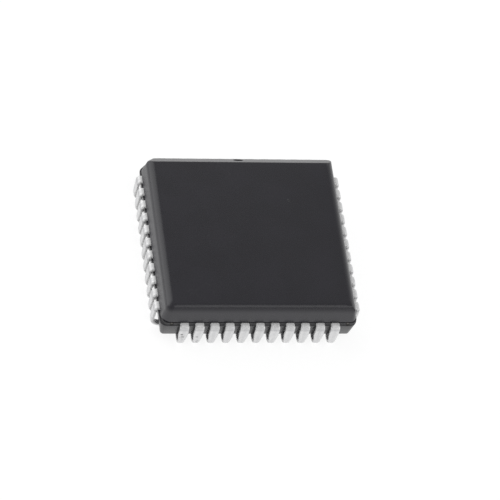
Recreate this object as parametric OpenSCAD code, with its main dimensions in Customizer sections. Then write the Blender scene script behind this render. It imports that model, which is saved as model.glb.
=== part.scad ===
// Plastic leaded chip carrier: a square moulded package with J-leads on all four sides.
// Millimetres. The origin is the centre of the seating plane, on which the leads stand.
// +Z is up, +Y is the side that carries lead 1, and the leads count anticlockwise from above.

/* [Package] */
// Height of the package above the seating plane
package_h = 4.37; // [4.1:0.01:4.7]
// Height of the lead frame's upper face above the seating plane
shoulder_h = 2.77; // [2.5:0.01:3]
// Clear height under the middle of the body
standoff = 0.55; // [0.4:0.01:0.75]

/* [Moulded body] */
// Draft of the upper walls, in degrees
upper_draft = 11; // [4:0.5:14]
// Draft of the lower walls, in degrees
lower_draft = 10.5; // [4:0.5:14]
// Radius round the upper edge of the body
top_edge_r = 0.7; // [0.2:0.05:0.8]
// Corner radius of the upper walls, at the level of the top face
top_corner_r = 0.2; // [0.1:0.05:0.5]
// Set-in of the upper walls' foot from the body's widest edge
upper_inset = 0.085; // [0.08:0.005:0.3]
// How far the upper half of the moulding sits off the lower one, along X
mould_shift_x = -0.06; // [-0.08:0.01:0.08]
// How far the upper half of the moulding sits off the lower one, along Y
mould_shift_y = 0.08; // [-0.08:0.01:0.08]
// Ledge from the band between the leads out to the head of the lower walls
lower_ledge = 0.095; // [0.02:0.005:0.3]
// Corner radius of the band between the leads
band_corner_r = 0.5; // [0.2:0.05:0.8]
// Corner radius of the lower walls at their widest
lower_corner_r = 0.6; // [0.4:0.05:0.8]
// Height of the lower walls' bottom edge above the seating plane
lower_edge_h = 0.92; // [0.8:0.01:1.1]
// Corner radius of the pedestal under the body
pedestal_corner_r = 0.4; // [0.2:0.05:1]

/* [Index marks] */
// Leg of the chamfer on the index corner, across the widest edge
index_chamfer = 0.85; // [0.7:0.05:1.1]
// Leg of the cut on the upper half's index corner, at the body's widest edge
upper_chamfer = 1.12; // [0.95:0.01:1.4]
// Leg of the bevel along the top of the lead 1 side
index_bevel = 0.98; // [0.6:0.01:1.2]
// Slope of the bevel, in degrees from the top face
bevel_angle = 45; // [30:1:50]
// Diameter of the round recess in that bevel, beside lead 1
dimple_d = 0.85; // [0.5:0.05:1]
// Depth of the round recess
dimple_depth = 0.15; // [0.08:0.01:0.25]

/* [Ejector marks] */
// Diameter of the round ejector marks under the body
ejector_d = 1.5; // [1:0.1:2.5]
// Depth of the ejector marks
ejector_depth = 0.05; // [0.02:0.01:0.1]
// Distance between neighbouring ejector marks
ejector_pitch = 8; // [5:0.5:9.5]

/* [Leads] */
// Leads on each side, an odd number
leads_per_side = 11; // [9:2:17]
// Distance between neighbouring leads
lead_pitch = 1.27; // [1.2:0.01:1.4]
// Distance from the middle of the last lead on a side to the body's widest edge
end_margin = 1.945; // [1.8:0.005:2.4]
// Thickness of the lead frame
lead_t = 0.25; // [0.2:0.01:0.33]
// How far the leads' outer faces stand out from the widest edge
lead_reach = 0.405; // [0.36:0.005:0.7]
// Width of a lead where it leaves the body
exit_w = 0.75; // [0.6:0.01:0.76]
// Width of a lead below its shoulder, with the dam bar stubs
stub_w = 0.81; // [0.76:0.01:0.9]
// Distance from the band out to the dam bar stubs
stub_out = 0.2; // [0.1:0.01:0.3]
// Width of a lead at its foot
foot_w = 0.48; // [0.33:0.01:0.55]
// Height at which a lead starts to narrow
taper_start_h = 1.7; // [1.4:0.05:1.9]
// Height at which a lead has narrowed to its foot
taper_end_h = 0.6; // [0.4:0.05:0.9]
// Distance from the body's widest edge out to where the shoulder starts to bend
bend_out = 0.005; // [0:0.005:0.02]
// Outer radius of the J at the foot
foot_r = 0.89; // [0.75:0.01:1]
// How far the J curls on past its lowest line, in degrees
foot_curl = 55; // [30:5:70]

/* [Lead frame inside the body] */
// Length of the full-width stub of a lead inside the body
anchor_l = 0.4; // [0.2:0.05:0.6]
// Width of an inner lead behind its anchor
neck_w = 0.42; // [0.3:0.01:0.5]
// Length of an inner lead before it fans in
neck_l = 1; // [0.7:0.05:1.5]
// Length of a whole inner lead, from the band to its tip
inner_l = 3.3; // [2.6:0.05:3.6]
// Width of an inner lead's tip
tip_w = 0.32; // [0.25:0.01:0.4]
// Distance from the last tip's side to the corner where two rows of tips meet
tip_corner_gap = 0.74; // [0.5:0.01:1]
// Gap between the inner tips and the die paddle
paddle_gap = 0.9; // [0.3:0.05:1.2]
// Width of the tie bars
tie_w = 0.3; // [0.2:0.01:0.36]
// Distance of a tie bar's cut end from the body's corner
tie_inset = 0.8; // [0.7:0.05:0.9]

/* [Die and wires] */
// Margin of the die paddle round the die
die_margin = 1.2; // [0.6:0.05:1.4]
// Thickness of the die
die_t = 0.38; // [0.25:0.01:0.5]
// Thickness of the die attach layer
attach_t = 0.03; // [0.02:0.01:0.06]
// How far the die attach spreads past the die
attach_spread = 0.1; // [0.05:0.01:0.2]
// Distance from the last bond pad to the die's corner
pad_corner = 0.6; // [0.4:0.05:0.8]
// Distance of the bond pads from the die's edge
pad_inset = 0.15; // [0.1:0.01:0.3]
// Thickness of a bond wire
wire_d = 0.035; // [0.025:0.005:0.05]
// Height of a wire's loop above the die
wire_loop = 0.25; // [0.15:0.01:0.4]
// Length of a wire's flat foot on its lead
wire_foot = 0.12; // [0.08:0.01:0.2]

/* [Hidden] */
$fn = 48;
// How far a cutter runs past the face that it opens
cut_over = 0.2;
// How far one layer of the moulding runs into the next
layer_lap = 0.1;
// Gap between the curled lead tips and the pedestal
tip_gap = 0.35;

side_count = 4;
lead_count = side_count * leads_per_side;
middle_lead = (leads_per_side - 1) / 2;

// The body reaches past the last leads on each side
body_w = 2 * (middle_lead * lead_pitch + end_margin);
// Outer half widths of the three layers of the moulding
lower_half_w = body_w / 2;
band_half_w = lower_half_w - lower_ledge;
upper_half_w = lower_half_w - upper_inset;

// Heights of the layers
band_h = shoulder_h - lead_t;
upper_h = package_h - shoulder_h;
lower_h = band_h - lower_edge_h;
pedestal_h = lower_edge_h - standoff;

// How far the upper wall, with its draft and its round top edge, spreads at its foot
upper_spread = (top_edge_r + (upper_h - top_edge_r) * sin(upper_draft)) / cos(upper_draft);
// Corner radius of the upper walls at their foot
upper_corner_r = top_corner_r + upper_h * tan(upper_draft);
// Where the upper wall would meet the top face if the edge were sharp
sharp_edge = upper_half_w - upper_h * tan(upper_draft);
bevel_edge = sharp_edge - index_bevel;
// How far the bevel comes down before it runs out on the drafted wall
bevel_drop = index_bevel / (1 / tan(bevel_angle) - tan(upper_draft));

// The bent lead, in the frame of its own side: +Y is outwards
lead_face = lower_half_w + lead_reach;
bend_r = lead_reach - bend_out;
bend_y = lead_face - bend_r;
foot_y = lead_face - foot_r;
foot_tip_y = foot_y - foot_r * sin(foot_curl);
pedestal_half_w = foot_tip_y - tip_gap;

// The ring of inner tips, the paddle inside it and the die on the paddle
tip_ring = band_half_w - inner_l;
tip_pitch = (tip_ring - tip_corner_gap - tip_w / 2) / middle_lead;
paddle_w = 2 * (tip_ring - paddle_gap);
die_w = paddle_w - 2 * die_margin;
pad_pitch = (die_w / 2 - pad_corner) / middle_lead;
die_z = shoulder_h + attach_t;
die_top = die_z + die_t;

function lead_name(n) = str("lead_", n < 10 ? "0" : "", n);

// Place of lead n, counted anticlockwise from the right-hand end of the lead 1 side
function lead_place(n) = (n - 1 + middle_lead) % lead_count;
function lead_side(n) = floor(lead_place(n) / leads_per_side);
// Steps of lead n from the middle of its side
function lead_step(n) = middle_lead - lead_place(n) % leads_per_side;

// Corner centres of a layer of the moulding, clockwise from above, with the index corner cut off
function layer_outline(half_w, corner_r, chamfer) =
    let (a = half_w - corner_r)
    let (set_in = lower_half_w - a)
    let (b = body_w - chamfer - sqrt(2) * set_in - a)
    [[a, a], [a, -a], [-a, -a], [-a, b], [-b, a]];

// Turns the side-frame of lead n into the package's frame
module at_side(n) {
    rotate([0, 0, 90 * lead_side(n)])
        children();
}

// A solid with one wall profile all round: carried along each side and turned about each corner centre.
// Along the sides the profile is backed by a strip that runs into the middle.
module walled_block(outline, h) {
    count = len(outline);
    linear_extrude(h)
        polygon(outline);
    for (i = [0:count - 1]) {
        start = outline[i];
        end = outline[(i + 1) % count];
        next = outline[(i + 2) % count];
        heading = atan2(end.y - start.y, end.x - start.x);
        next_heading = atan2(next.y - end.y, next.x - end.x);
        turn = (heading - next_heading + 360) % 360;
        translate([start.x, start.y, 0])
            rotate([0, 0, heading])
                rotate([90, 0, 90])
                    linear_extrude(norm(end - start)) {
                        translate([-layer_lap, 0])
                            square([layer_lap, h]);
                        children();
                    }
        translate([end.x, end.y, 0])
            rotate([0, 0, next_heading + 90])
                rotate_extrude(angle = turn)
                    children();
    }
}

// Section across the upper half, from wall to wall: drafted walls and round upper edges
module upper_section() {
    edge_x = upper_half_w - upper_spread;
    edge_z = upper_h - top_edge_r;
    tangent = [edge_x + top_edge_r * cos(upper_draft), edge_z + top_edge_r * sin(upper_draft)];
    intersection() {
        union() {
            polygon([[-upper_half_w, 0], [upper_half_w, 0], tangent, [-tangent.x, tangent.y]]);
            for (x = [-edge_x, edge_x])
                translate([x, edge_z])
                    circle(top_edge_r);
            translate([-edge_x, 0])
                square([2 * edge_x, upper_h]);
        }
        translate([-upper_half_w, 0])
            square([2 * upper_half_w, upper_h]);
    }
}

// Section of a plain drafted wall that widens upwards to radius r
module drafted_wall(r, h) {
    polygon([[0, 0], [r - h * tan(lower_draft), 0], [r, h], [0, h]]);
}

module upper_half() {
    translate([mould_shift_x, mould_shift_y, 0])
        difference() {
            translate([0, 0, shoulder_h])
                upper_block();
            index_bevel_cut();
            index_dimple_cut();
        }
}

// That section carried along Y, and then turned about Z
module upper_ridge(turn) {
    rotate([90, 0, turn])
        translate([0, 0, -body_w])
            linear_extrude(2 * body_w)
                upper_section();
}

// The upper half without its marks: round corners, and the section along X and Y
module upper_block() {
    intersection() {
        walled_block(layer_outline(upper_half_w, upper_corner_r, upper_chamfer), upper_h)
            polygon([[0, 0], [upper_corner_r, 0], [top_corner_r, upper_h], [0, upper_h]]);
        upper_ridge(0);
        upper_ridge(90);
    }
}

// Puts its children on the bevel: the origin on its upper edge, +Y down the slope, +Z out of the face
module on_bevel() {
    translate([0, bevel_edge, package_h])
        rotate([-bevel_angle, 0, 0])
            children();
}

// The cut along the top of the lead 1 side
module index_bevel_cut() {
    on_bevel()
        translate([-body_w, -body_w, 0])
            cube([2 * body_w, 2 * body_w, package_h]);
}

// The round recess half way down the bevel
module index_dimple_cut() {
    on_bevel()
        translate([0, bevel_drop / sin(bevel_angle) / 2, -dimple_depth])
            cylinder(d = dimple_d, h = dimple_depth + cut_over);
}

// The moulding at the level of the lead frame
module band_block() {
    translate([0, 0, band_h])
        walled_block(layer_outline(band_half_w, band_corner_r, index_chamfer), lead_t)
            square([band_corner_r, lead_t]);
}

// The middle of the band, which runs into the halves above and below it
module band_core() {
    translate([0, 0, band_h - layer_lap])
        linear_extrude(lead_t + 2 * layer_lap)
            polygon(layer_outline(upper_half_w - 2 * layer_lap, upper_corner_r, upper_chamfer));
}

module lower_half() {
    translate([0, 0, lower_edge_h])
        walled_block(layer_outline(lower_half_w, lower_corner_r, index_chamfer), lower_h)
            drafted_wall(lower_corner_r, lower_h);
}

module pedestal() {
    a = pedestal_half_w - pedestal_corner_r;
    difference() {
        translate([0, 0, standoff])
            walled_block([[a, a], [a, -a], [-a, -a], [-a, a]], pedestal_h + layer_lap)
                drafted_wall(pedestal_corner_r, pedestal_h + layer_lap);
        for (x = [-1, 1], y = [-1, 1])
            translate([x * ejector_pitch / 2, y * ejector_pitch / 2, standoff - cut_over])
                cylinder(d = ejector_d, h = ejector_depth + cut_over);
    }
}

// The room for all that the resin was moulded round
module insert_room() {
    translate([0, 0, band_h])
        linear_extrude(lead_t)
            lead_frame_plan();
    die_stack(cut_over);
    for (n = [1:lead_count])
        bond_wire(n, cut_over);
}

module body() {
    color("#3a3a3d")
        difference() {
            union() {
                upper_half();
                band_block();
                band_core();
                lower_half();
                pedestal();
            }
            insert_room();
        }
}

// Plan of the whole lead frame inside the moulding, running out past the band
module lead_frame_plan() {
    for (n = [1:lead_count])
        at_side(n)
            inner_lead_plan(lead_step(n), cut_over);
    paddle_plan();
}

// Plan of one lead from the band's face to its inner tip, a number of steps from the middle
module inner_lead_plan(step, over = 0) {
    x = step * lead_pitch;
    tip_x = step * tip_pitch;
    anchor_y = band_half_w - anchor_l;
    neck_y = band_half_w - neck_l;
    polygon([
        [x - exit_w / 2, band_half_w + over],
        [x - exit_w / 2, anchor_y],
        [x - neck_w / 2, anchor_y],
        [x - neck_w / 2, neck_y],
        [tip_x - tip_w / 2, tip_ring],
        [tip_x + tip_w / 2, tip_ring],
        [x + neck_w / 2, neck_y],
        [x + neck_w / 2, anchor_y],
        [x + exit_w / 2, anchor_y],
        [x + exit_w / 2, band_half_w + over]
    ]);
}

// Plan of the die paddle and its tie bars, which run out past the band
module paddle_plan() {
    elbow = band_half_w - tie_inset;
    square(paddle_w, center = true);
    tie_bar_plan([elbow, -elbow], [elbow, -band_half_w]);
    tie_bar_plan([-elbow, -elbow], [-elbow, -band_half_w]);
    tie_bar_plan([elbow, elbow], [elbow, band_half_w]);
    tie_bar_plan([-elbow, elbow], [-band_half_w, band_half_w]);
}

// Plan of one tie bar, from inside the paddle's corner by way of an elbow to the band and beyond
module tie_bar_plan(elbow, exit) {
    root = (paddle_w / 2 - tie_w) * [sign(elbow.x), sign(elbow.y)];
    strip_plan(root, elbow, 0);
    translate(elbow)
        circle(d = tie_w);
    strip_plan(elbow, exit, cut_over);
}

// Plan of a straight strip of tie bar, running on past its end
module strip_plan(start, end, over) {
    translate(start)
        rotate(atan2(end.y - start.y, end.x - start.x))
            translate([0, -tie_w / 2])
                square([norm(end - start) + over, tie_w]);
}

// An arc of lead strip about the X axis: the outside radius, the first angle and the sweep
module strip_bend(r, from, sweep) {
    rotate([90, 0, 90])
        rotate([0, 0, from])
            rotate_extrude(angle = sweep)
                translate([r - lead_t, -stub_w / 2])
                    square([lead_t, stub_w]);
}

// The folded strip outside the body, at its full width: shoulder, bend, leg and J
module folded_strip() {
    translate([-stub_w / 2, band_half_w, band_h])
        cube([stub_w, bend_y - band_half_w, lead_t]);
    translate([0, bend_y, shoulder_h - bend_r])
        strip_bend(bend_r, 0, 90);
    translate([-stub_w / 2, lead_face - lead_t, foot_r])
        cube([stub_w, lead_t, shoulder_h - bend_r - foot_r]);
    translate([0, foot_y, foot_r])
        strip_bend(foot_r, -90 - foot_curl, 90 + foot_curl);
}

// Width of a lead seen from outside: full below the shoulder, narrowing to the foot
module lead_front() {
    polygon([
        [-stub_w / 2, shoulder_h + cut_over],
        [-stub_w / 2, taper_start_h],
        [-foot_w / 2, taper_end_h],
        [-foot_w / 2, -cut_over],
        [foot_w / 2, -cut_over],
        [foot_w / 2, taper_end_h],
        [stub_w / 2, taper_start_h],
        [stub_w / 2, shoulder_h + cut_over]
    ]);
}

// Width of a lead seen from above: narrow at the body, full from the dam bar stubs outwards
module lead_top() {
    stub_y = band_half_w + stub_out;
    inner_y = foot_tip_y - cut_over;
    translate([-exit_w / 2, inner_y])
        square([exit_w, stub_y - inner_y]);
    translate([-stub_w / 2, stub_y])
        square([stub_w, lead_face + cut_over - stub_y]);
}

module folded_lead() {
    intersection() {
        folded_strip();
        translate([0, lead_face + cut_over, 0])
            rotate([90, 0, 0])
                linear_extrude(lead_face)
                    lead_front();
        translate([0, 0, -cut_over])
            linear_extrude(package_h)
                lead_top();
    }
}

module lead(n) {
    color("#c8cacf")
        at_side(n) {
            translate([0, 0, band_h])
                linear_extrude(lead_t)
                    inner_lead_plan(lead_step(n));
            translate([lead_step(n) * lead_pitch, 0, 0])
                folded_lead();
        }
}

module die_paddle() {
    color("#aca49a")
        intersection() {
            band_block();
            translate([0, 0, band_h - cut_over])
                linear_extrude(lead_t + 2 * cut_over)
                    paddle_plan();
        }
}

// A square layer centred on the package
module square_layer(w, z, t) {
    translate([-w / 2, -w / 2, z])
        cube([w, w, t]);
}

// The room that the die and its attach layer take up, opened downwards by a cutter's overrun
module die_stack(over) {
    square_layer(die_w + 2 * attach_spread, shoulder_h - over, attach_t + over);
    square_layer(die_w, die_z - over, die_t + over);
}

module die_attach() {
    color("#a9a79c")
        square_layer(die_w + 2 * attach_spread, shoulder_h, attach_t);
}

module die() {
    color("#5c6270")
        square_layer(die_w, die_z, die_t);
}

// One wire: up from its pad, along its loop and down to a flat foot on the lead's tip
module bond_wire(n, over = 0) {
    step = lead_step(n);
    pad = [step * pad_pitch, die_w / 2 - pad_inset];
    foot = [step * tip_pitch, tip_ring + wire_foot];
    run = norm(foot - pad);
    knee = run / 4;
    loop_z = die_top + wire_loop;
    at_side(n)
        translate([pad.x, pad.y, 0])
            rotate([0, 0, atan2(foot.y - pad.y, foot.x - pad.x)])
                rotate([90, 0, 0])
                    linear_extrude(wire_d, center = true)
                        polygon([
                            [0, die_top - over],
                            [0, loop_z],
                            [knee, loop_z],
                            [run, shoulder_h + wire_d],
                            [run + wire_foot, shoulder_h + wire_d],
                            [run + wire_foot, shoulder_h - over],
                            [run - wire_d, shoulder_h - over],
                            [run - wire_d, shoulder_h + wire_d / 2],
                            [knee - wire_d, loop_z - wire_d],
                            [wire_d, loop_z - wire_d],
                            [wire_d, die_top - over]
                        ]);
}

module bond_wires() {
    color("#d8a93a")
        for (n = [1:lead_count])
            bond_wire(n);
}

body();
die_paddle();
die_attach();
die();
bond_wires();
for (n = [1:lead_count])
    lead(n);
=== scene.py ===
"""Looks of a square moulded chip carrier with J-shaped leads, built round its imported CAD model."""

import math

import bmesh
import bpy
from mathutils import Matrix, Vector


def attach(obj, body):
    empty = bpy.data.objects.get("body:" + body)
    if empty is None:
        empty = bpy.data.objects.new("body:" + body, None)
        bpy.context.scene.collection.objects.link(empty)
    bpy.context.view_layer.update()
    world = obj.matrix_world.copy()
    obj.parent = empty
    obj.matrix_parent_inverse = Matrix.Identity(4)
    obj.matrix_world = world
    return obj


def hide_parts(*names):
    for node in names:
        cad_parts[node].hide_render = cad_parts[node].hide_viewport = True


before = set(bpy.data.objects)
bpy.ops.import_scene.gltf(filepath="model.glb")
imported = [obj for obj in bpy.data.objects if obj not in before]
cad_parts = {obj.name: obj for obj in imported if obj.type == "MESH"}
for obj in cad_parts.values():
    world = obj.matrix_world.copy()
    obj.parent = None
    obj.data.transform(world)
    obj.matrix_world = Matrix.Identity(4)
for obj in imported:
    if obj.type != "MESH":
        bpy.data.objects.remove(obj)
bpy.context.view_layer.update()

MM = 0.001

# Sizes of the package, in millimetres, as in the part's source.
PACKAGE_H = 4.37
SHOULDER_H = 2.77
STANDOFF = 0.55
LOWER_EDGE_H = 0.92
LEAD_T = 0.25
LEADS_PER_SIDE = 11
LEAD_PITCH = 1.27
END_MARGIN = 1.945
BODY_W = (LEADS_PER_SIDE - 1) * LEAD_PITCH + 2 * END_MARGIN
LOWER_LEDGE = 0.095
UPPER_INSET = 0.085
MOULD_SHIFT = (-0.06, 0.08)
UPPER_DRAFT = math.radians(11)
LOWER_DRAFT = math.radians(10.5)
TOP_EDGE_R = 0.7
TOP_CORNER_R = 0.2
BAND_CORNER_R = 0.5
LOWER_CORNER_R = 0.6
PEDESTAL_CORNER_R = 0.4
INDEX_CHAMFER = 0.85
UPPER_CHAMFER = 1.12
INDEX_BEVEL = 0.98
BEVEL_ANGLE = math.radians(45)
DIMPLE_D = 0.85
DIMPLE_DEPTH = 0.15
EJECTOR_D = 1.5
EJECTOR_DEPTH = 0.05
EJECTOR_PITCH = 8.0
LEAD_REACH = 0.405
STUB_OUT = 0.2
FOOT_W = 0.48
TAPER_START_H = 1.7
TAPER_END_H = 0.6
BEND_OUT = 0.005
FOOT_R = 0.89
FOOT_CURL = math.radians(55)
ANCHOR_L = 0.4
NECK_W = 0.42
NECK_L = 1.0
INNER_L = 3.3
TIP_W = 0.32
TIP_CORNER_GAP = 0.74
TIP_GAP = 0.35
LAYER_LAP = 0.1
# Widths of the plated strip at the body and below the shoulder, a little under those of the source.
EXIT_W = 0.72
STUB_W = 0.78

LOWER_HALF = BODY_W / 2
BAND_HALF = LOWER_HALF - LOWER_LEDGE
UPPER_HALF = LOWER_HALF - UPPER_INSET
BAND_H = SHOULDER_H - LEAD_T
LOWER_FOOT = LOWER_HALF - (BAND_H - LOWER_EDGE_H) * math.tan(LOWER_DRAFT)
UPPER_H = PACKAGE_H - SHOULDER_H
UPPER_SPREAD = (TOP_EDGE_R + (UPPER_H - TOP_EDGE_R) * math.sin(UPPER_DRAFT)) / math.cos(UPPER_DRAFT)
UPPER_CORNER_R = TOP_CORNER_R + UPPER_H * math.tan(UPPER_DRAFT)
BEVEL_EDGE = UPPER_HALF - UPPER_H * math.tan(UPPER_DRAFT) - INDEX_BEVEL
BEVEL_DROP = INDEX_BEVEL / (1 / math.tan(BEVEL_ANGLE) - math.tan(UPPER_DRAFT))
BEVEL_NORMAL = (0, math.sin(BEVEL_ANGLE), math.cos(BEVEL_ANGLE))
LEAD_FACE = LOWER_HALF + LEAD_REACH
BEND_R = LEAD_REACH - BEND_OUT
PEDESTAL_HALF = (LEAD_FACE - FOOT_R - FOOT_R * math.sin(FOOT_CURL) - TIP_GAP
                 - LAYER_LAP * math.tan(LOWER_DRAFT))
TIP_RING = BAND_HALF - INNER_L
TIP_PITCH = (TIP_RING - TIP_CORNER_GAP - TIP_W / 2) / ((LEADS_PER_SIDE - 1) / 2)
LEAD_NODES = ["lead_%02d" % n for n in range(1, 4 * LEADS_PER_SIDE + 1)]

# The tool closes a little out of line: how far its two halves stand from the band between them.
LOWER, BAND, UPPER = range(3)
SHIFTS = ((-0.07, 0.0), (0.0, 0.0), MOULD_SHIFT)
# The resin's face between the leads lies this far behind the cut ends of the tie bars.
TIE_PROUD = 0.006
# The ledge above it lies this far below the flat tops of the leads.
LEDGE_DROP = 0.008
LEDGE_H = SHOULDER_H - LEDGE_DROP
# Radii that a moulding tool leaves on edges that the drawing calls sharp.
EDGE_R = 0.04
RIM_R = 0.05
CREASE_R = 0.025
PEDESTAL_ROUND = 0.06
FOOT_ROUND = 0.02
BEVEL_ROUND = 0.15
# How softly the bevel runs into the walls beside it.
BEVEL_BLEND = 0.05
# Radius at the top of the front left corner, which is rounder than the others.
SOFT_CORNER_R = 0.45
# Share of the bevel's fall at which the round recess lies.
RECESS_DOWN = 0.6
# How far wear reaches from an edge of the body.
EDGE_REACH = 0.12
# Radii of the strip's outer edges, which the punch rolls over, and of its crisper inner ones.
ROLLED_R = 0.09
CRISP_R = 0.04
# Length of a lead from the band to the end of its shoulder bend, along the middle of the strip.
BEND_END = LEAD_FACE - BEND_R - BAND_HALF + (BEND_R - LEAD_T / 2) * math.pi / 2
# A pinhole in the top face, its colour painted near black as the shade inside it, and a pale chip beside it:
# place and radius.
PINHOLE = ((3.57, 3.03, PACKAGE_H), 0.06)
CHIP = ((3.51, 3.16, PACKAGE_H), 0.07)
# Cut ends of the tie bars: below each, the resin is painted near black as the shade of a hollow where a
# little of it broke away; above each, a burr was left.
TIE_ENDS = ((-7.42, -8.22), (7.40, -8.22), (7.40, 8.22))
VOID_R = 0.13
BURR_R = 0.12
# Smudges on the first two leads at the front: place and radius.
SMUDGES = (
    ((-6.50, -8.70, 1.86), 0.15),
    ((-6.45, -8.70, 1.50), 0.24),
    ((-5.20, -8.70, 1.50), 0.17),
    ((-5.03, -8.68, 0.85), 0.18),
)


def add_object(name, mesh):
    obj = bpy.data.objects.new(name, mesh)
    bpy.context.scene.collection.objects.link(obj)
    return obj


def set_smooth(mesh, angle):
    mesh.shade_smooth()
    mesh.set_sharp_from_angle(angle=math.radians(angle))


def baked(obj):
    """The object's evaluated shape as a plain mesh; its modifiers are removed."""
    graph = bpy.context.evaluated_depsgraph_get()
    graph.update()
    mesh = bpy.data.meshes.new_from_object(obj.evaluated_get(graph))
    old = obj.data
    obj.modifiers.clear()
    obj.data = mesh
    mesh.name = obj.name
    bpy.data.meshes.remove(old)
    return obj


# Moulded body


def rounded_corner(before, corner, after, radius, steps):
    """Points of an arc that rounds a corner of a wall profile."""
    a = (Vector(before) - Vector(corner)).normalized()
    b = (Vector(after) - Vector(corner)).normalized()
    half = math.acos(max(-1.0, min(1.0, a.dot(b)))) / 2
    tangent = radius / math.tan(half)
    centre = Vector(corner) + (a + b).normalized() * (radius / math.sin(half))
    start = Vector(corner) + a * tangent - centre
    end = Vector(corner) + b * tangent - centre
    turn = start.angle_signed(end)
    return [centre + Matrix.Rotation(-turn * i / steps, 2) @ start for i in range(steps + 1)]


def wall_rings():
    """Rings of the body, upwards: height, corner centres, corner radius, part and half width."""
    pedestal_foot = PEDESTAL_HALF - (LOWER_EDGE_H - STANDOFF) * math.tan(LOWER_DRAFT)
    pedestal_centre = PEDESTAL_HALF - PEDESTAL_CORNER_R
    lower_centre = LOWER_HALF - LOWER_CORNER_R
    band_centre = BAND_HALF - BAND_CORNER_R
    band = BAND_HALF - TIE_PROUD
    # Corners of the lower half's profile: half width, height, half width to the corner centres, rounding.
    corners = [
        (pedestal_foot, STANDOFF, pedestal_centre, PEDESTAL_ROUND),
        (PEDESTAL_HALF, LOWER_EDGE_H, pedestal_centre, CREASE_R),
        (LOWER_FOOT, LOWER_EDGE_H, lower_centre, EDGE_R),
        (LOWER_HALF, BAND_H, lower_centre, RIM_R),
        (band, BAND_H, band_centre, CREASE_R),
    ]
    path = [(pedestal_foot - 1.0, STANDOFF)] + [c[:2] for c in corners] + [(band, LEDGE_H)]
    rings = []
    for i, (half, _, centre, radius) in enumerate(corners):
        part = BAND if half == band else LOWER
        for p in rounded_corner(path[i], path[i + 1], path[i + 2], radius, 4):
            rings.append((p.y, centre, p.x - centre, part, p.x))
    rings.append((LEDGE_H, band_centre, band - band_centre, BAND, band))
    # The upper half, moulded by the other half of the tool, stands on the band as a whole.
    centre = UPPER_HALF - UPPER_CORNER_R
    for p in upper_wall(band):
        drafted = UPPER_HALF - (p.y - SHOULDER_H) * math.tan(UPPER_DRAFT)
        rings.append((p.y, centre, drafted - centre, UPPER, p.x))
    return rings


def upper_wall(band):
    """Profile of the upper half from the ledge up: its foot, the drafted wall and the round upper edge."""
    edge = UPPER_HALF - UPPER_SPREAD
    wall_steps, round_steps = 16, 24
    # The round stops just short of the flat, which closes it.
    last_angle = math.pi / 2 - 0.02

    def on_round(angle):
        return Vector((edge + TOP_EDGE_R * math.cos(angle), PACKAGE_H - TOP_EDGE_R * (1 - math.sin(angle))))

    start = on_round(UPPER_DRAFT)
    wall = rounded_corner((band - 1.0, LEDGE_H), (UPPER_HALF, LEDGE_H), start, FOOT_ROUND, 3)
    # The straight part has enough points for the bevel's lower edge to be followed.
    wall += [wall[-1].lerp(start, i / wall_steps) for i in range(1, wall_steps)]
    turn = (last_angle - UPPER_DRAFT) / round_steps
    return wall + [on_round(UPPER_DRAFT + turn * i) for i in range(round_steps + 1)]


def ring_points(centre, radius, chamfer, soft):
    """One level's outline, anticlockwise from above: a rounded square with the index corner cut off.

    soft is the centre and the radius of the front left corner.
    """
    # Without a cut, the two halves of the index corner's arc stay just apart.
    reach = centre - 0.02
    if chamfer:
        reach = BODY_W - chamfer - math.sqrt(2) * (LOWER_HALF - centre) - centre
    corners = [
        (centre, centre, radius, 0, 90, 12),
        (-reach, centre, radius, 90, 135, 8),
        (-centre, reach, radius, 135, 180, 8),
        (-soft[0], -soft[0], soft[1], 180, 270, 12),
        (centre, -centre, radius, 270, 360, 12),
    ]
    points = []
    for i, (x, y, r, start, end, steps) in enumerate(corners):
        arc = []
        for k in range(steps + 1):
            angle = math.radians(start + (end - start) * k / steps)
            arc.append((x + r * math.cos(angle), y + r * math.sin(angle)))
        points += arc
        # Points along the straight side to the next corner.
        nx, ny, nr, nstart = corners[(i + 1) % len(corners)][:4]
        angle = math.radians(nstart)
        far = (nx + nr * math.cos(angle), ny + nr * math.sin(angle))
        pieces = 6 if i == 1 else 24
        for k in range(1, pieces):
            f = k / pieces
            points.append((arc[-1][0] + (far[0] - arc[-1][0]) * f, arc[-1][1] + (far[1] - arc[-1][1]) * f))
    return points


def bevel_limit(z):
    """Furthest back that the body reaches at a height, along the bevel with its rounded upper edge."""
    drop = PACKAGE_H - z
    tangent = BEVEL_ROUND * math.tan(BEVEL_ANGLE / 2)
    if drop < BEVEL_ROUND * (1 - math.cos(BEVEL_ANGLE)):
        return BEVEL_EDGE - tangent + math.sqrt(BEVEL_ROUND ** 2 - (BEVEL_ROUND - drop) ** 2)
    return BEVEL_EDGE + drop / math.tan(BEVEL_ANGLE)


def soft_min(a, b, blend):
    h = max(0.0, min(1.0, 0.5 + 0.5 * (b - a) / blend))
    return b + (a - b) * h - blend * h * (1 - h)


def round_recess(bm, centre, normal, diameter, depth):
    """Adds a cutter for a round recess: a plug with a rounded foot that stands out of the face."""
    turn = Vector((0, 0, 1)).rotation_difference(Vector(normal).normalized()).to_matrix()
    r = diameter / 2
    foot = min(0.06, depth * 0.6)
    flare, proud, steps = 0.02, 0.3, 40
    profile = [(r + flare, proud), (r + flare, flare), (r, 0.0), (r, -depth + foot)]
    for q in (0.4, 0.8, 1.2, 1.5708):
        profile.append((r - foot * (1 - math.cos(q)), -depth + foot * (1 - math.sin(q))))
    rows = []
    for radius, height in profile:
        row = []
        for k in range(steps):
            q = 2 * math.pi * k / steps
            p = turn @ Vector((radius * math.cos(q), radius * math.sin(q), height)) + Vector(centre)
            row.append(bm.verts.new(p * MM))
        rows.append(row)
    for low, high in zip(rows[1:], rows[:-1]):
        for k in range(steps):
            bm.faces.new((low[k], low[(k + 1) % steps], high[(k + 1) % steps], high[k]))
    bm.faces.new(rows[0])
    bm.faces.new(list(reversed(rows[-1])))


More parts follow.
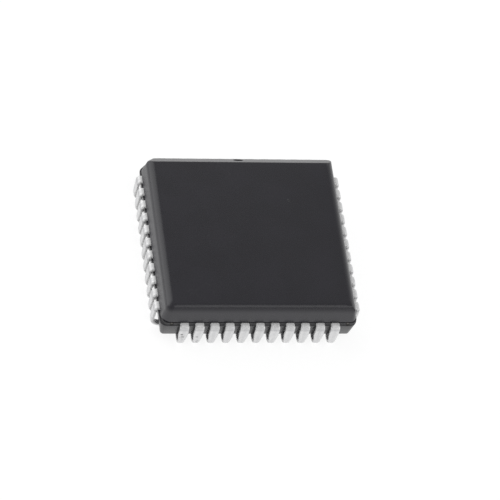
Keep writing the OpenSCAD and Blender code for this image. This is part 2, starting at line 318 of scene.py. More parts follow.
def make_mesh(name, bm):
    """Turns a bmesh into a mesh, with its faces outwards."""
    bmesh.ops.recalc_face_normals(bm, faces=bm.faces)
    mesh = bpy.data.meshes.new(name)
    bm.to_mesh(mesh)
    bm.free()
    return mesh


def make_body():
    """The resin body: wall rings lofted round the package, with the bevel, its recess and ejector marks."""
    bm = bmesh.new()
    rows = []
    for z, centre, radius, part, reach in wall_rings():
        row = []
        shift = Vector(SHIFTS[part])
        chamfer = UPPER_CHAMFER if part == UPPER else INDEX_CHAMFER if centre > PEDESTAL_HALF else 0
        soft = (centre, radius)
        if part == UPPER:
            soft_r = SOFT_CORNER_R + (PACKAGE_H - z) * math.tan(UPPER_DRAFT)
            soft = (reach - soft_r, soft_r)
        for x, y in ring_points(centre, radius, chamfer, soft):
            if part == UPPER:
                x = max(-reach, min(reach, x))
                y = max(-reach, min(reach, y))
                if y > 0:
                    y = soft_min(y, bevel_limit(z), BEVEL_BLEND)
            row.append(bm.verts.new(Vector((x + shift.x, y + shift.y, z)) * MM))
        rows.append(row)
    count = len(rows[0])
    for low, high in zip(rows[:-1], rows[1:]):
        for k in range(count):
            bm.faces.new((low[k], low[(k + 1) % count], high[(k + 1) % count], high[k]))
    bm.faces.new(rows[-1])
    bm.faces.new(list(reversed(rows[0])))
    bmesh.ops.remove_doubles(bm, verts=bm.verts, dist=1e-8)
    body = add_object("moulded_body", make_mesh("moulded_body", bm))

    bm = bmesh.new()
    recess_drop = BEVEL_DROP * RECESS_DOWN
    recess_y = BEVEL_EDGE + recess_drop / math.tan(BEVEL_ANGLE) + MOULD_SHIFT[1]
    recess = (MOULD_SHIFT[0], recess_y, PACKAGE_H - recess_drop)
    round_recess(bm, recess, BEVEL_NORMAL, DIMPLE_D, DIMPLE_DEPTH)
    for x in (-1, 1):
        for y in (-1, 1):
            round_recess(bm, (x * EJECTOR_PITCH / 2, y * EJECTOR_PITCH / 2, STANDOFF), (0, 0, -1),
                         EJECTOR_D, EJECTOR_DEPTH)
    cutter = add_object("recess_cutter", make_mesh("recess_cutter", bm))
    cut = body.modifiers.new("recesses", "BOOLEAN")
    cut.operation = "DIFFERENCE"
    cut.solver = "EXACT"
    cut.object = cutter
    baked(body)
    bpy.data.objects.remove(cutter)
    set_smooth(body.data, 30)
    mark_edges(body.data)
    return body


def mark_edges(mesh):
    """Stores how near each point is to one of the body's outer edges."""
    edges = ((LOWER_HALF, BAND_H), (LOWER_FOOT, LOWER_EDGE_H), (BAND_HALF, SHOULDER_H))
    mask = mesh.attributes.new("edge", "FLOAT", "POINT")
    for vert, value in zip(mesh.vertices, mask.data):
        x, y, z = vert.co / MM
        shift = SHIFTS[LOWER] if z < BAND_H + EDGE_R else SHIFTS[BAND]
        half = max(abs(x - shift[0]), abs(y - shift[1]))
        away = min(math.hypot(half - edge_half, z - edge_z) for edge_half, edge_z in edges)
        value.value = max(0.0, 1.0 - away / EDGE_REACH)


# Leads


def lead_stations():
    """One lead's strip from its inner tip to the end of its J: place, heading, width and share of the fan."""
    mid = LEAD_T / 2
    flat_z = SHOULDER_H - mid
    step = 0.03
    stations = [
        (TIP_RING, flat_z, 0.0, TIP_W, 1.0),
        (BAND_HALF - NECK_L, flat_z, 0.0, NECK_W, 0.0),
        (BAND_HALF - ANCHOR_L - step, flat_z, 0.0, NECK_W, 0.0),
        (BAND_HALF - ANCHOR_L, flat_z, 0.0, EXIT_W, 0.0),
        (BAND_HALF + 0.05, flat_z, 0.0, EXIT_W, 0.0),
    ]
    bend_y = LEAD_FACE - BEND_R
    bend_mid = BEND_R - mid
    stub_y = BAND_HALF + STUB_OUT
    steps = 12
    for i in range(steps + 1):
        q = math.pi / 2 * i / steps
        y = bend_y + bend_mid * math.sin(q)
        z = SHOULDER_H - BEND_R + bend_mid * math.cos(q)
        rise = max(0.0, min(1.0, (y - stub_y) / step + 0.5))
        stations.append((y, z, -q, EXIT_W + (STUB_W - EXIT_W) * rise, 0.0))
    leg_y = LEAD_FACE - mid
    # Heights down the leg, closer together where its taper starts.
    for z in (TAPER_START_H + 0.1, TAPER_START_H, TAPER_START_H - 0.1, 1.3, 1.1, FOOT_R + 0.05):
        stations.append((leg_y, z, -math.pi / 2, lead_width(z), 0.0))
    steps = 18
    foot_mid = FOOT_R - mid
    for i in range(steps + 1):
        q = (math.pi / 2 + FOOT_CURL) * i / steps
        y = LEAD_FACE - FOOT_R + foot_mid * math.cos(q)
        z = FOOT_R - foot_mid * math.sin(q)
        stations.append((y, z, -math.pi / 2 - q, lead_width(z if q < math.pi / 2 else 0.0), 0.0))
    return stations


def lead_width(z):
    f = max(0.0, min(1.0, (z - TAPER_END_H) / (TAPER_START_H - TAPER_END_H)))
    return FOOT_W + (STUB_W - FOOT_W) * f


def strip_section(width):
    """Section of the stamped strip: each point's place, nearness to a long edge and share in a cut flank."""
    half_w, half_t = width / 2, LEAD_T / 2
    points = []
    corners = (
        (0, 1, 1, ROLLED_R),
        (90, -1, 1, ROLLED_R),
        (180, -1, -1, CRISP_R),
        (270, 1, -1, CRISP_R),
    )
    for turn, sx, sz, radius in corners:
        for k in range(4):
            q = math.radians(turn + 30 * k)
            points.append((sx * (half_w - radius) + radius * math.cos(q),
                           sz * (half_t - radius) + radius * math.sin(q), 1.0, abs(math.cos(q))))
        if turn % 180 == 0:
            # Points across the flat, so that wear can stay at its edges.
            flat = half_w - radius
            for f in (0.75, 0.3, -0.3, -0.75):
                points.append((sz * f * flat, sz * half_t, 1.0 if abs(f) > 0.5 else 0.0, 0.0))
    return points


def make_lead():
    """One lead on the +Y side, at the middle of its row; its points carry what its fan and finish need."""
    bm = bmesh.new()
    layers = bm.verts.layers.float
    fan, along, edge, flank = (layers.new(name) for name in ("fan", "along", "edge", "flank"))
    rows = []
    # Length along the strip counts from the band's face, so it is negative inside the resin.
    run = -INNER_L
    last = None
    for y, z, heading, width, share in lead_stations():
        place = Vector((0, y, z))
        if last is not None:
            run += (place - last).length
        last = place
        across = Vector((1, 0, 0))
        outwards = Vector((0, -math.sin(heading), math.cos(heading)))
        row = []
        for u, v, near, cut in strip_section(width):
            vert = bm.verts.new((place + across * u + outwards * v) * MM)
            vert[fan] = share
            vert[along] = run
            vert[edge] = near
            vert[flank] = cut
            row.append(vert)
        rows.append(row)
    count = len(rows[0])
    for low, high in zip(rows[:-1], rows[1:]):
        for k in range(count):
            bm.faces.new((low[k], high[k], high[(k + 1) % count], low[(k + 1) % count]))
    bm.faces.new(rows[0])
    bm.faces.new(list(reversed(rows[-1])))
    mesh = make_mesh("lead_strip", bm)
    set_smooth(mesh, 50)
    return add_object("lead_strip", mesh)


def lead_rows_tree():
    """Geometry Nodes tree: sets one lead out in a row, fans the inner ends and turns the row to each side."""
    tree = bpy.data.node_groups.new("lead_rows", "GeometryNodeTree")
    inputs = {}
    for name, kind, value in (
        ("Lead", "NodeSocketObject", None),
        ("Leads per Side", "NodeSocketInt", LEADS_PER_SIDE),
        ("Sides", "NodeSocketInt", 4),
        ("Pitch", "NodeSocketFloat", LEAD_PITCH * MM),
        ("Tip Pitch", "NodeSocketFloat", TIP_PITCH * MM),
        ("Seed", "NodeSocketInt", 7),
        ("Material", "NodeSocketMaterial", None),
    ):
        socket = tree.interface.new_socket(name, in_out="INPUT", socket_type=kind)
        if value is not None:
            socket.default_value = value
        inputs[name] = socket
    tree.interface.new_socket("Geometry", in_out="OUTPUT", socket_type="NodeSocketGeometry")
    nodes, links = tree.nodes, tree.links

    def node(kind, **values):
        made = nodes.new(kind)
        for key, value in values.items():
            setattr(made, key, value)
        return made

    def maths(operation, a, b):
        made = node("ShaderNodeMath", operation=operation)
        for socket, value in zip(made.inputs, (a, b)):
            if isinstance(value, (int, float)):
                socket.default_value = value
            else:
                links.new(value, socket)
        return made.outputs[0]

    given = node("NodeGroupInput").outputs
    strip = node("GeometryNodeObjectInfo", transform_space="ORIGINAL")
    links.new(given["Lead"], strip.inputs["Object"])

    # One row along X, centred on the middle lead.
    middle = maths("MULTIPLY", maths("SUBTRACT", given["Leads per Side"], 1), 0.5)
    row_start = node("ShaderNodeCombineXYZ")
    links.new(maths("MULTIPLY", maths("MULTIPLY", middle, given["Pitch"]), -1), row_start.inputs["X"])
    row_step = node("ShaderNodeCombineXYZ")
    links.new(given["Pitch"], row_step.inputs["X"])
    places = node("GeometryNodeMeshLine", mode="OFFSET")
    links.new(given["Leads per Side"], places.inputs["Count"])
    links.new(row_start.outputs[0], places.inputs["Start Location"])
    links.new(row_step.outputs[0], places.inputs["Offset"])
    row = node("GeometryNodeInstanceOnPoints")
    links.new(places.outputs[0], row.inputs["Points"])
    links.new(strip.outputs["Geometry"], row.inputs["Instance"])
    step = node("GeometryNodeStoreNamedAttribute", data_type="FLOAT", domain="INSTANCE")
    step.inputs["Name"].default_value = "step"
    links.new(row.outputs[0], step.inputs["Geometry"])
    links.new(maths("SUBTRACT", node("GeometryNodeInputIndex").outputs[0], middle), step.inputs["Value"])
    row_mesh = node("GeometryNodeRealizeInstances")
    links.new(step.outputs[0], row_mesh.inputs[0])

    # The inner ends close up from the outer pitch to the pitch of the tips.
    step_read = node("GeometryNodeInputNamedAttribute", data_type="FLOAT")
    step_read.inputs["Name"].default_value = "step"
    fan_read = node("GeometryNodeInputNamedAttribute", data_type="FLOAT")
    fan_read.inputs["Name"].default_value = "fan"
    closing = maths("SUBTRACT", given["Tip Pitch"], given["Pitch"])
    shift = node("ShaderNodeCombineXYZ")
    links.new(maths("MULTIPLY", maths("MULTIPLY", step_read.outputs[0], fan_read.outputs[0]), closing),
              shift.inputs["X"])
    fanned = node("GeometryNodeSetPosition")
    links.new(row_mesh.outputs[0], fanned.inputs["Geometry"])
    links.new(shift.outputs[0], fanned.inputs["Offset"])

    # The row is turned about the package's middle.
    corners = node("GeometryNodeMeshLine", mode="OFFSET")
    corners.inputs["Offset"].default_value = (0, 0, 0)
    links.new(given["Sides"], corners.inputs["Count"])
    quarter = maths("DIVIDE", 2 * math.pi, given["Sides"])
    turn = node("ShaderNodeCombineXYZ")
    links.new(maths("MULTIPLY", node("GeometryNodeInputIndex").outputs[0], quarter), turn.inputs["Z"])
    ring = node("GeometryNodeInstanceOnPoints")
    links.new(corners.outputs[0], ring.inputs["Points"])
    links.new(fanned.outputs[0], ring.inputs["Instance"])
    links.new(turn.outputs[0], ring.inputs["Rotation"])
    side = node("GeometryNodeStoreNamedAttribute", data_type="FLOAT", domain="INSTANCE")
    side.inputs["Name"].default_value = "side"
    links.new(ring.outputs[0], side.inputs["Geometry"])
    links.new(node("GeometryNodeInputIndex").outputs[0], side.inputs["Value"])
    leads = node("GeometryNodeRealizeInstances")
    links.new(side.outputs[0], leads.inputs[0])

    # A tone for each lead, so that no two plate up quite alike.
    side_read = node("GeometryNodeInputNamedAttribute", data_type="FLOAT")
    side_read.inputs["Name"].default_value = "side"
    number = maths("ADD", maths("MULTIPLY", side_read.outputs[0], given["Leads per Side"]),
                   maths("ADD", step_read.outputs[0], middle))
    chance = node("FunctionNodeRandomValue", data_type="FLOAT")
    links.new(number, chance.inputs["ID"])
    links.new(given["Seed"], chance.inputs["Seed"])
    tone = node("GeometryNodeStoreNamedAttribute", data_type="FLOAT", domain="POINT")
    tone.inputs["Name"].default_value = "tone"
    links.new(leads.outputs[0], tone.inputs["Geometry"])
    links.new([s for s in chance.outputs if s.enabled][0], tone.inputs["Value"])
    plated = node("GeometryNodeSetMaterial")
    links.new(tone.outputs[0], plated.inputs["Geometry"])
    links.new(given["Material"], plated.inputs["Material"])
    links.new(plated.outputs[0], node("NodeGroupOutput").inputs[0])
    return tree, inputs


def make_leads(material):
    strip = make_lead()
    leads = add_object("j_leads", bpy.data.meshes.new("j_leads"))
    tree, inputs = lead_rows_tree()
    rows = leads.modifiers.new("lead_rows", "NODES")
    rows.node_group = tree
    rows[inputs["Lead"].identifier] = strip
    rows[inputs["Material"].identifier] = material
    baked(leads)
    bpy.data.objects.remove(strip)
    return leads


# Materials


class Nodes:
    """A shader node tree, with short ways to add nodes to it."""

    def __init__(self, tree):
        self.tree = tree

    def node(self, kind, links=None, **values):
        made = self.tree.nodes.new(kind)
        for key, value in values.items():
            setattr(made, key, value)
        for key, value in (links or {}).items():
            self.put(made.inputs[key], value)
        return made

    def put(self, socket, value):
        if isinstance(value, bpy.types.NodeSocket):
            self.tree.links.new(value, socket)
        else:
            socket.default_value = value

    def maths(self, operation, a, b=0.0):
        return self.node("ShaderNodeMath", {0: a, 1: b}, operation=operation).outputs[0]

    def blend(self, factor, a, b):
        mix = self.node("ShaderNodeMix", data_type="RGBA")
        self.put(mix.inputs["Factor"], factor)
        for name, value in (("A", a), ("B", b)):
            self.put([i for i in mix.inputs if i.name == name and i.type == "RGBA"][0], value)
        return [o for o in mix.outputs if o.type == "RGBA"][0]

    def tinted(self, colour, *layers):
        """Lays shades over a colour, each as strong as its mask times its amount."""
        for mask, amount, shade in layers:
            colour = self.blend(self.maths("MULTIPLY", mask, amount), colour, shade + (1,))
        return colour

    def lifted(self, value, *layers):
        """Adds masks to a value, each times its amount."""
        for mask, amount in layers:
            value = self.maths("ADD", value, self.maths("MULTIPLY", mask, amount))
        return value

    def spread(self, value, low, high, to_low=0.0, to_high=1.0, smooth=False):
        kind = "SMOOTHSTEP" if smooth else "LINEAR"
        ranged = self.node("ShaderNodeMapRange", {0: value, 1: low, 2: high, 3: to_low, 4: to_high},
                           interpolation_type=kind)
        return ranged.outputs[0]

    def noise(self, vector, size, detail=2.0, roughness=0.5):
        """Noise with cells of about the given size, in metres."""
        scale = self.maths("DIVIDE", 1.0, size)
        return self.node("ShaderNodeTexNoise", {"Vector": vector, "Scale": scale, "Detail": detail,
                                                "Roughness": roughness}).outputs["Fac"]

    def effect(self, group, **values):
        """Places a shared effect and gives its first output."""
        made = self.node("ShaderNodeGroup", node_tree=group)
        for key, value in values.items():
            self.put(made.inputs[key.replace("_", " ")], value)
        return made.outputs[0]

    def place(self):
        return self.node("ShaderNodeTexCoord").outputs["Object"]

    def attribute(self, name):
        return self.node("ShaderNodeAttribute", attribute_name=name).outputs["Fac"]

    def bump(self, height, distance):
        """A bump whose height of 1 stands the given distance, in millimetres."""
        return self.node("ShaderNodeBump", {"Height": height, "Distance": distance * MM}).outputs["Normal"]


class Finish(Nodes):
    """A material round one Principled shader."""

    def __init__(self, name):
        self.material = bpy.data.materials.new(name)
        self.material.use_nodes = True
        super().__init__(self.material.node_tree)
        self.principled = self.tree.nodes["Principled BSDF"]

    def surface(self, **values):
        for key, value in values.items():
            self.put(self.principled.inputs[key.replace("_", " ")], value)
        return self.material


class Effect(Nodes):
    """A shader node group with named inputs and one output, a value that changes over the surface."""

    def __init__(self, name, output, **inputs):
        super().__init__(bpy.data.node_groups.new(name, "ShaderNodeTree"))
        face = self.tree.interface
        face.new_socket("Vector", in_out="INPUT", socket_type="NodeSocketVector")
        for key, value in inputs.items():
            socket = face.new_socket(key.replace("_", " "), in_out="INPUT", socket_type="NodeSocketFloat")
            socket.default_value = value
        face.new_socket(output, in_out="OUTPUT", socket_type="NodeSocketFloat")
        self.given = self.node("NodeGroupInput").outputs

    def gives(self, value):
        self.put(self.node("NodeGroupOutput").inputs[0], value)
        return self.tree


def grain_effect():
    """Fine even texture of a moulded or plated face."""
    e = Effect("fine_grain", "Height", Size=0.0001)
    return e.gives(e.noise(e.given["Vector"], e.given["Size"], 3.0, 0.6))


def cloud_effect():
    """Soft patches, from 0 to 1."""
    e = Effect("soft_patches", "Patch", Size=0.002, Softness=0.2)
    cloud = e.noise(e.given["Vector"], e.given["Size"], 3.0, 0.55)
    low = e.maths("SUBTRACT", 0.5, e.given["Softness"])
    high = e.maths("ADD", 0.5, e.given["Softness"])
    return e.gives(e.spread(cloud, low, high, smooth=True))


def speck_effect():
    """Rare small round specks, such as dust or pinholes."""
    e = Effect("specks", "Speck", Spacing=0.001, Radius=0.00003, Share=0.3)
    scale = e.maths("DIVIDE", 1.0, e.given["Spacing"])
    cells = e.node("ShaderNodeTexVoronoi", {"Vector": e.given["Vector"], "Scale": scale})
    reach = e.maths("DIVIDE", e.given["Radius"], e.given["Spacing"])
    spot = e.spread(cells.outputs["Distance"], e.maths("MULTIPLY", reach, 0.4), reach, 1.0, 0.0, smooth=True)
    chance = e.node("ShaderNodeSeparateColor", {0: cells.outputs["Color"]}).outputs[0]
    return e.gives(e.maths("MULTIPLY", spot, e.maths("LESS_THAN", chance, e.given["Share"])))


def scuff_effect():
    """Thin wandering rub marks that come and go."""
    e = Effect("scuffs", "Scuff", Size=0.001, Width=0.02, Share=0.5)
    lines = e.noise(e.given["Vector"], e.given["Size"], 1.0)
    off = e.maths("ABSOLUTE", e.maths("SUBTRACT", lines, 0.5))
    line = e.spread(off, 0.0, e.given["Width"], 1.0, 0.0, smooth=True)
    patch = e.noise(e.given["Vector"], e.maths("MULTIPLY", e.given["Size"], 2.3), 1.0)
    gate = e.maths("SUBTRACT", 1.0, e.given["Share"])
    keep = e.spread(patch, gate, e.maths("ADD", gate, 0.15), smooth=True)
    return e.gives(e.maths("MULTIPLY", line, keep))


def wear_effect():
    """Rubbing along edges: the edge's own mask, broken up by noise."""
    e = Effect("edge_wear", "Wear", Edge=0.0, Size=0.0003, Amount=0.5)
    patch = e.noise(e.given["Vector"], e.given["Size"], 3.0, 0.6)
    limit = e.maths("SUBTRACT", 1.05, e.given["Amount"])
    reach = e.maths("MULTIPLY", e.given["Edge"], e.maths("ADD", patch, 0.35))
    return e.gives(e.spread(reach, e.maths("SUBTRACT", limit, 0.25), limit, smooth=True))


GRAIN = grain_effect()
CLOUD = cloud_effect()
SPECK = speck_effect()
SCUFF = scuff_effect()
WEAR = wear_effect()


def ball_mask(s, place, centre, radius):
    """A soft ball of a given radius round a point, both in millimetres."""
    ends = {0: place, 1: Vector(centre) * MM}
    away = s.node("ShaderNodeVectorMath", ends, operation="DISTANCE").outputs["Value"]
    return s.spread(away, radius * MM * 0.5, radius * MM, 1.0, 0.0, smooth=True)


def spots_mask(s, place, spots):
    """The soft balls of several spots, each a centre and a radius, as one mask."""
    mask = 0.0
    for centre, radius in spots:
        mask = s.maths("MAXIMUM", mask, ball_mask(s, place, centre, radius))
    return mask


def resin_material():
    """Black moulded resin: satin, a little cloudy, duller on the band and the bevel."""
    s = Finish("moulded_resin")
    place = s.place()
    height = s.node("ShaderNodeSeparateXYZ", {0: place}).outputs["Z"]
    grain = s.effect(GRAIN, Vector=place, Size=0.07 * MM)
    cloud = s.effect(CLOUD, Vector=place, Size=3.2 * MM, Softness=0.18)
    flow = s.effect(CLOUD, Vector=place, Size=0.7 * MM, Softness=0.25)
    dust = s.effect(SPECK, Vector=place, Spacing=0.9 * MM, Radius=0.028 * MM, Share=0.25)
    scuff = s.effect(SCUFF, Vector=place, Size=1.6 * MM, Width=0.012, Share=0.42)
    wear = s.effect(WEAR, Vector=place, Edge=s.attribute("edge"), Size=0.35 * MM, Amount=0.5)
    # The band between the halves is left dull where the frame was trimmed.
    above = s.spread(height, (BAND_H - 0.02) * MM, (BAND_H + 0.01) * MM)
    below = s.spread(height, (LEDGE_H + 0.002) * MM, (SHOULDER_H + 0.02) * MM, 1.0, 0.0)
    band = s.maths("MULTIPLY", above, below)
    # The lower half below the band is painted paler, as painted light standing in for the light it reflects,
    # and is a little rougher.
    lower = s.spread(height, (BAND_H - 0.06) * MM, BAND_H * MM, 1.0, 0.0)
    # The bevel comes from an insert in the tool with a coarser face.
    faces = {0: s.node("ShaderNodeTexCoord").outputs["Normal"], 1: BEVEL_NORMAL}
    facing = s.node("ShaderNodeVectorMath", faces, operation="DOT_PRODUCT").outputs["Value"]
    bevel = s.spread(facing, 0.93, 0.98, smooth=True)
    pinhole = ball_mask(s, place, *PINHOLE)
    chip = ball_mask(s, place, *CHIP)
    void_shade = spots_mask(s, place, [((x, y, BAND_H), VOID_R) for x, y in TIE_ENDS])

    colour = s.tinted(
        s.blend(cloud, (0.0108, 0.0099, 0.0156, 1), (0.0130, 0.0119, 0.0190, 1)),
        (flow, 0.25, (0.0158, 0.0147, 0.0210)),
        (scuff, 0.10, (0.060, 0.060, 0.062)),
        (wear, 0.35, (0.045, 0.045, 0.047)),
        (dust, 0.35, (0.10, 0.10, 0.10)),
        (chip, 0.60, (0.13, 0.13, 0.13)),
        # painted shade inside the pinhole
        (pinhole, 0.80, (0.004, 0.004, 0.004)),
        # painted light: the lower half painted paler
        (lower, 0.60, (0.040, 0.040, 0.042)),
        (band, 0.70, (0.050, 0.050, 0.052)),
        # painted shade of the broken-out hollows at the tie ends
        (void_shade, 0.90, (0.003, 0.003, 0.003)),
    )
    rough = s.lifted(
        s.spread(grain, 0.3, 0.7, 0.25, 0.30),
        (cloud, 0.02),
        (scuff, 0.08),
        (wear, -0.06),
        (band, 0.30),
        (bevel, 0.075),
        (lower, 0.04),
    )
    relief = s.lifted(grain, (flow, 0.6), (pinhole, -6.0), (dust, 1.5))
    return s.surface(Base_Color=colour, Roughness=rough, IOR=1.65, Normal=s.bump(relief, 0.0016))


def plating_material():
    """Satin tin plating, with painted light on the shoulders and cut flanks, and painted shade at the end of
    each bend and at each root.
    """
    s = Finish("tin_plating")
    place = s.place()
    tone = s.attribute("tone")
    along = s.attribute("along")
    grain = s.effect(GRAIN, Vector=place, Size=0.045 * MM)
    cloud = s.effect(CLOUD, Vector=place, Size=0.45 * MM, Softness=0.2)
    dirt = s.effect(SPECK, Vector=place, Spacing=0.55 * MM, Radius=0.05 * MM, Share=0.16)
    scuff = s.effect(SCUFF, Vector=place, Size=0.5 * MM, Width=0.03, Share=0.5)
    wear = s.effect(WEAR, Vector=place, Edge=s.attribute("edge"), Size=0.2 * MM, Amount=0.62)
    # The shoulder and the cut flanks, which nothing rubs, stay matt; their colour is also painted paler, as
    # painted light.
    shoulder = s.spread(along, 0.10, 0.36, 1.0, 0.0, smooth=True)
    matt_and_painted_light = s.maths("MAXIMUM", shoulder, s.spread(s.attribute("flank"), 0.6, 1.0, 0.0, 0.95))
    # Painted shade: the colour is darkened across the end of the bend, where the bump is also dented.
    line = s.maths("ABSOLUTE", s.maths("SUBTRACT", along, BEND_END - 0.05))
    line = s.spread(line, 0.0, 0.18, 1.0, 0.0, smooth=True)
    # The root of each lead is darkened: partly a trace of resin that bleeds out over it, partly painted shade
    # where the lead meets the wall.
    resin_bleed_and_painted_shade = s.spread(along, -0.045, -0.012, 1.0, 0.0, smooth=True)
    broken = s.spread(s.effect(GRAIN, Vector=place, Size=0.16 * MM), 0.42, 0.6)
    smudges = s.maths("MULTIPLY", spots_mask(s, place, SMUDGES), broken)

    colour = s.tinted(
        s.blend(cloud, (0.700, 0.702, 0.708, 1), (0.765, 0.765, 0.767, 1)),
        (tone, 0.35, (0.66, 0.66, 0.67)),
        # painted light: shoulder and flanks painted paler
        (matt_and_painted_light, 0.90, (0.94, 0.94, 0.94)),
        (scuff, 0.30, (0.50, 0.50, 0.51)),
        (wear, 0.25, (0.83, 0.83, 0.83)),
        # painted shade at the end of the bend
        (line, 0.85, (0.56, 0.56, 0.57)),
        # resin bleed and painted shade at the root
        (resin_bleed_and_painted_shade, 0.90, (0.05, 0.05, 0.052)),
        (dirt, 0.45, (0.28, 0.27, 0.26)),
        (smudges, 0.95, (0.30, 0.30, 0.30)),
    )
    rough = s.lifted(
        s.spread(grain, 0.3, 0.7, 0.44, 0.52),
        (tone, 0.05),
        (scuff, 0.10),
        (wear, -0.08),
        (smudges, 0.15),
    )
    relief = s.lifted(grain, (cloud, 0.8), (line, -0.8))
    metallic = s.spread(matt_and_painted_light, 0.0, 1.0, 0.85, 0.10)
    return s.surface(Base_Color=colour, Roughness=rough, Metallic=metallic, Normal=s.bump(relief, 0.0022))


def inner_material(name, colour, rough, metallic, grain_size, cut_ends=False):
    """Finish of a piece inside the resin: grain, patches and a few specks over its own colour."""
    s = Finish(name)
    place = s.place()
    grain = s.effect(GRAIN, Vector=place, Size=grain_size * MM)
    cloud = s.effect(CLOUD, Vector=place, Size=0.8 * MM, Softness=0.2)
    speck = s.effect(SPECK, Vector=place, Spacing=0.5 * MM, Radius=0.03 * MM, Share=0.3)
    dull = tuple(c * 0.78 for c in colour)
    dark = tuple(c * 0.4 for c in colour)
    shade = s.tinted(s.blend(cloud, dull + (1,), colour + (1,)), (speck, 0.5, dark))
    if cut_ends:
        # What reaches the band's face was cut there and has darkened in the air, apart from a burr.
        axes = s.node("ShaderNodeSeparateXYZ", {0: place}).outputs
        out = s.maths("MAXIMUM", s.maths("ABSOLUTE", axes["X"]), s.maths("ABSOLUTE", axes["Y"]))
        end = s.spread(out, (BAND_HALF - 0.06) * MM, (BAND_HALF - 0.03) * MM)
        burrs = spots_mask(s, place, [((x, y, SHOULDER_H), BURR_R) for x, y in TIE_ENDS])
        shade = s.tinted(shade, (end, 0.85, (0.04, 0.04, 0.04)), (burrs, 1.0, (0.22, 0.21, 0.20)))
    roughness = s.lifted(s.spread(grain, 0.3, 0.7, rough, rough + 0.08), (cloud, 0.06))
    return s.surface(Base_Color=shade, Roughness=roughness, Metallic=metallic, Normal=s.bump(grain, 0.002))


def paint(obj, material):
    obj.data.materials.clear()
    obj.data.materials.append(material)


def repaint(node_name, material):
    """Gives a piece that stays as the solid its finish."""
    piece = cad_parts[node_name]
    if not piece.material_slots:
        piece.data.materials.append(material)
    for slot in piece.material_slots:
        slot.material = material


# The object

body = make_body()
paint(body, resin_material())
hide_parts("body")
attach(body, "root")

leads = make_leads(plating_material())
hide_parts(*LEAD_NODES)
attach(leads, "root")

# Colour, roughness, metallic and size of the grain in millimetres.
repaint("die_paddle", inner_material("frame_alloy", (0.24, 0.225, 0.205), 0.5, 0.9, 0.06, cut_ends=True))
repaint("die_attach", inner_material("attach_paste", (0.55, 0.54, 0.50), 0.55, 0.0, 0.08))
repaint("die", inner_material("polished_silicon", (0.16, 0.17, 0.21), 0.15, 0.0, 0.3))
repaint("bond_wires", inner_material("gold_wire", (0.95, 0.70, 0.28), 0.2, 1.0, 0.03))


# The studio


def make_floor():
    """A pale floor that looks white from the camera and in reflections, and keeps a faint shadow."""
    half, z = 1.5, -0.00002
    mesh = bpy.data.meshes.new("floor")
    corners = [(-half, -half, z), (half, -half, z), (half, half, z), (-half, half, z)]
    mesh.from_pydata(corners, [], [(0, 1, 2, 3)])
    floor = add_object("floor", mesh)
    s = Finish("white_floor")
    s.tree.nodes.remove(s.principled)
    path = s.node("ShaderNodeLightPath").outputs
    seen = s.maths("MAXIMUM", path["Is Camera Ray"], path["Is Glossy Ray"])
    seen = s.maths("MAXIMUM", seen, path["Is Transmission Ray"])
    pale = s.node("ShaderNodeBsdfDiffuse", {"Color": (0.9, 0.9, 0.9, 1)}).outputs[0]
    shaded = s.node("ShaderNodeBsdfDiffuse", {"Color": (0.25, 0.25, 0.25, 1)}).outputs[0]
    glow = s.node("ShaderNodeEmission", {"Color": (1, 1, 1, 1), "Strength": 0.86}).outputs[0]
    white = s.node("ShaderNodeAddShader", {0: shaded, 1: glow}).outputs[0]
    mixed = s.node("ShaderNodeMixShader", {0: seen, 1: pale, 2: white}).outputs[0]
    s.put(s.tree.nodes["Material Output"].inputs["Surface"], mixed)
    paint(floor, s.material)


def make_lamp(name, place, width, height, level):
    """A soft box that faces the object, as bright as the given level."""
    data = bpy.data.lights.new(name, "AREA")
    data.shape = "RECTANGLE"
    data.size = width
    data.size_y = height
    data.energy = level * math.pi * width * height
    lamp = bpy.data.objects.new(name, data)
    lamp.location = place
    lamp.rotation_euler = (-Vector(place)).to_track_quat("-Z", "Y").to_euler()
    bpy.context.scene.collection.objects.link(lamp)


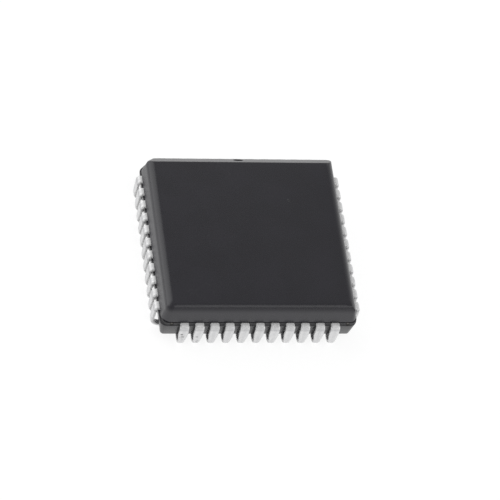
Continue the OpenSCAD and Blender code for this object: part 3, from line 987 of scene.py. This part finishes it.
def make_world(horizon, zenith):
    """A plain tent of light, paler round the foot than overhead, and white where the camera sees it."""
    world = bpy.data.worlds.new("studio")
    world.use_nodes = True
    s = Nodes(world.node_tree)
    heading = s.node("ShaderNodeTexCoord").outputs["Generated"]
    rise = s.node("ShaderNodeSeparateXYZ", {0: heading}).outputs["Z"]
    level = s.spread(rise, 0.0, 0.8, horizon, zenith)
    seen = s.node("ShaderNodeLightPath").outputs["Is Camera Ray"]
    background = s.tree.nodes["Background"]
    s.put(background.inputs["Color"], (1, 1, 1, 1))
    s.put(background.inputs["Strength"], s.maths("MAXIMUM", level, seen))
    bpy.context.scene.world = world


# The photograph's view: a long lens on the front left, turned a little about its own axis.
# Lengths are in millimetres, and the lens and the middle of the package in pixels of the square image.
AZIMUTH = math.radians(-21.763)
ELEVATION = math.radians(53.021)
ROLL = math.radians(17.954)
DISTANCE = 336.664
FOCAL_PX = 4049.4
IMAGE_PX = 500
MIDDLE_PX = (-1.891, 8.56)


def make_camera():
    back = Vector((math.sin(AZIMUTH) * math.cos(ELEVATION), -math.cos(AZIMUTH) * math.cos(ELEVATION),
                   math.sin(ELEVATION)))
    right = Vector((math.cos(AZIMUTH), math.sin(AZIMUTH), 0))
    up = back.cross(right)
    across = math.cos(ROLL) * right + math.sin(ROLL) * up
    upwards = -math.sin(ROLL) * right + math.cos(ROLL) * up
    target = Vector((0, 0, SHOULDER_H))
    target -= (across * MIDDLE_PX[0] + upwards * MIDDLE_PX[1]) * (DISTANCE / FOCAL_PX)
    data = bpy.data.cameras.new("camera")
    data.sensor_fit = "HORIZONTAL"
    data.sensor_width = 36.0
    data.lens = FOCAL_PX * data.sensor_width / IMAGE_PX
    data.clip_start = 0.01
    camera = bpy.data.objects.new("camera", data)
    place = (target + back * DISTANCE) * MM
    axes = Matrix((across, upwards, back)).transposed().to_4x4()
    camera.matrix_world = Matrix.Translation(place) @ axes
    bpy.context.scene.collection.objects.link(camera)
    bpy.context.scene.camera = camera


make_floor()
# Soft boxes: place, width and height in metres, and level.
make_lamp("top_box", (0.21, -0.30, 0.93), 0.45, 0.42, 0.9)
make_lamp("front_box", (0.62, -0.62, 0.48), 0.5, 0.5, 1.3)
make_lamp("side_box", (-0.54, 0.665, 0.52), 1.15, 1.05, 0.90)
make_world(0.98, 0.35)
make_camera()
bpy.context.scene.view_settings.view_transform = "Standard"
